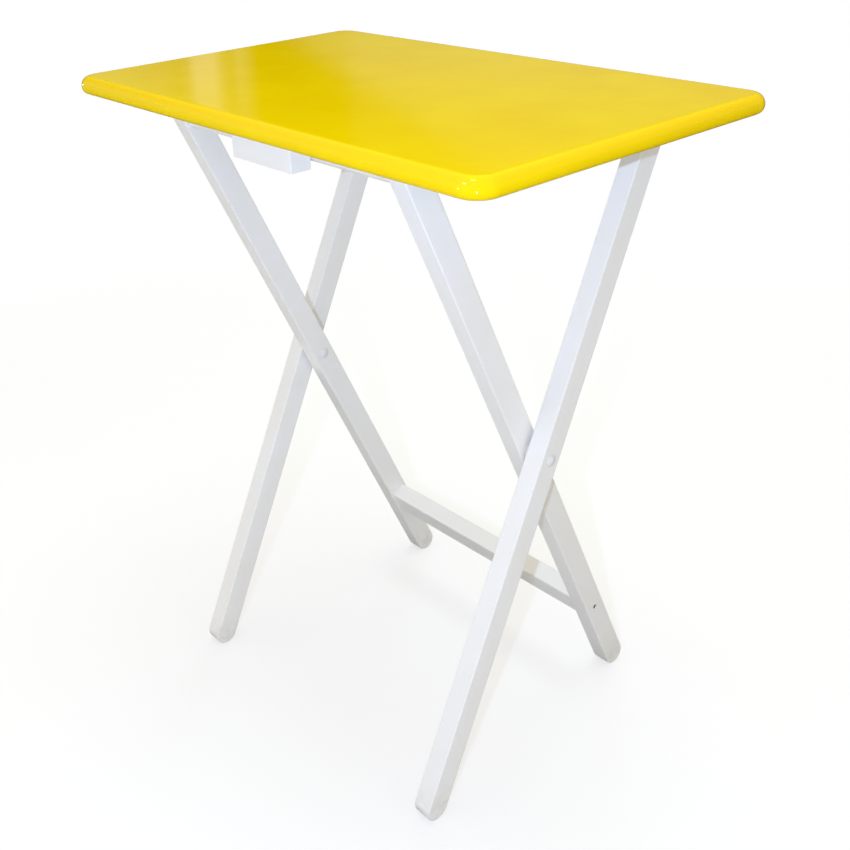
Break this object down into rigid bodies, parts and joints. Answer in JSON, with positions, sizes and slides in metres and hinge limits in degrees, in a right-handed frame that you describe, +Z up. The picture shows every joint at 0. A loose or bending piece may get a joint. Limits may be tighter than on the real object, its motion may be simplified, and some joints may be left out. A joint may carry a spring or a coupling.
{
  "type": "folding tray table",
  "caption": "Folding tray table: a round-edged lacquered board on crossed wooden legs that close on scissor bolts, with a top that lifts on pivots near its back edge.",
  "frame": {"origin": "on the floor, under the middle of the open table's bounding box", "axes": "+X along the board's length, -Y towards the person who sits at the table, +Z up"},
  "size_m": [0.56, 0.355, 0.66],
  "materials": {
    "top_lacquer": "glossy yellow lacquer on board",
    "frame_paint": "satin white paint on wood",
    "bolt_paint": "white painted steel connector bolts",
    "screw_steel": "zinc-plated steel wood screws",
    "washer_nylon": "natural nylon spacers and washers"
  },
  "bodies": {
    "outer_frame": {"outer_leg_left": "frame_paint", "outer_leg_right": "frame_paint"},
    "inner_frame": {"inner_leg_left": "frame_paint", "inner_leg_right": "frame_paint", "crossbar": "frame_paint", "stretcher": "frame_paint", "crossbar_screw_left": "screw_steel", "crossbar_screw_right": "screw_steel", "stretcher_screw_left": "screw_steel", "stretcher_screw_right": "screw_steel", "scissor_bolt_left": "bolt_paint", "scissor_bolt_right": "bolt_paint", "scissor_barrel_left": "bolt_paint", "scissor_barrel_right": "bolt_paint", "scissor_spacer_left": "washer_nylon", "scissor_spacer_right": "washer_nylon"},
    "pivot_pins": {"pivot_bolt_left": "bolt_paint", "pivot_bolt_right": "bolt_paint", "pivot_barrel_left": "bolt_paint", "pivot_barrel_right": "bolt_paint", "pivot_washer_left": "washer_nylon", "pivot_washer_right": "washer_nylon"},
    "table_top": {"tabletop": "top_lacquer", "cleat_left": "frame_paint", "cleat_right": "frame_paint", "cleat_screws_left": "screw_steel", "cleat_screws_right": "screw_steel", "catch_block": "frame_paint", "catch_screws": "screw_steel"}
  },
  "joints": [
    {"name": "leg_fold", "type": "hinge", "parent": "outer_frame", "child": "inner_frame", "pos_m": [0, 0.012, 0.336], "axis": [-1, 0, 0], "range_deg": [0, 49.8]},
    {"name": "pivot_turn", "type": "hinge", "parent": "outer_frame", "child": "pivot_pins", "pos_m": [0, 0.1485, 0.63], "axis": [-1, 0, 0], "range_deg": [0, 24.9]},
    {"name": "top_lift", "type": "hinge", "parent": "pivot_pins", "child": "table_top", "pos_m": [0, 0.1485, 0.63], "axis": [-1, 0, 0], "range_deg": [0, 90]}
  ],
  "couplings": [
    {"joint": "leg_fold", "follows": "pivot_turn", "ratio": 2}
  ]
}
